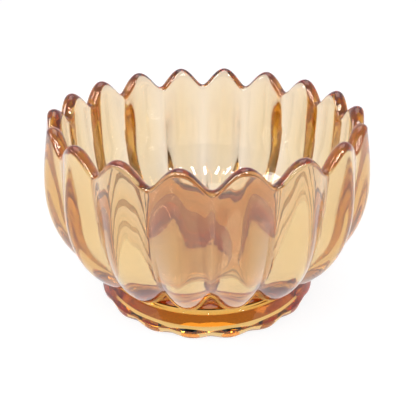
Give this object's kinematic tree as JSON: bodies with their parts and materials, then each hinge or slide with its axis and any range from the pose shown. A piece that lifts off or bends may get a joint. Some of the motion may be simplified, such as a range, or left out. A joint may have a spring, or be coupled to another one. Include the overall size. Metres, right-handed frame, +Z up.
{
  "type": "candy dish",
  "caption": "Round pressed glass candy dish with a deep petal-lobed bowl, a wavy rounded rim and a low scalloped foot; holds sweets or other small things.",
  "frame": {"origin": "on the table, under the middle of the foot", "axes": "+Z up along the bowl's axis; +X through the middle of a petal; +Y through a crease between two petals"},
  "size_m": [0.1522, 0.15, 0.0905],
  "materials": {
    "bowl_glass": "clear peach-amber pressed glass, fire-polished",
    "foot_glass": "clear amber pressed glass, fire-polished, deeper in tone where it is thick"
  },
  "bodies": {
    "root": {"bowl": "bowl_glass", "foot": "foot_glass"}
  },
  "joints": []
}
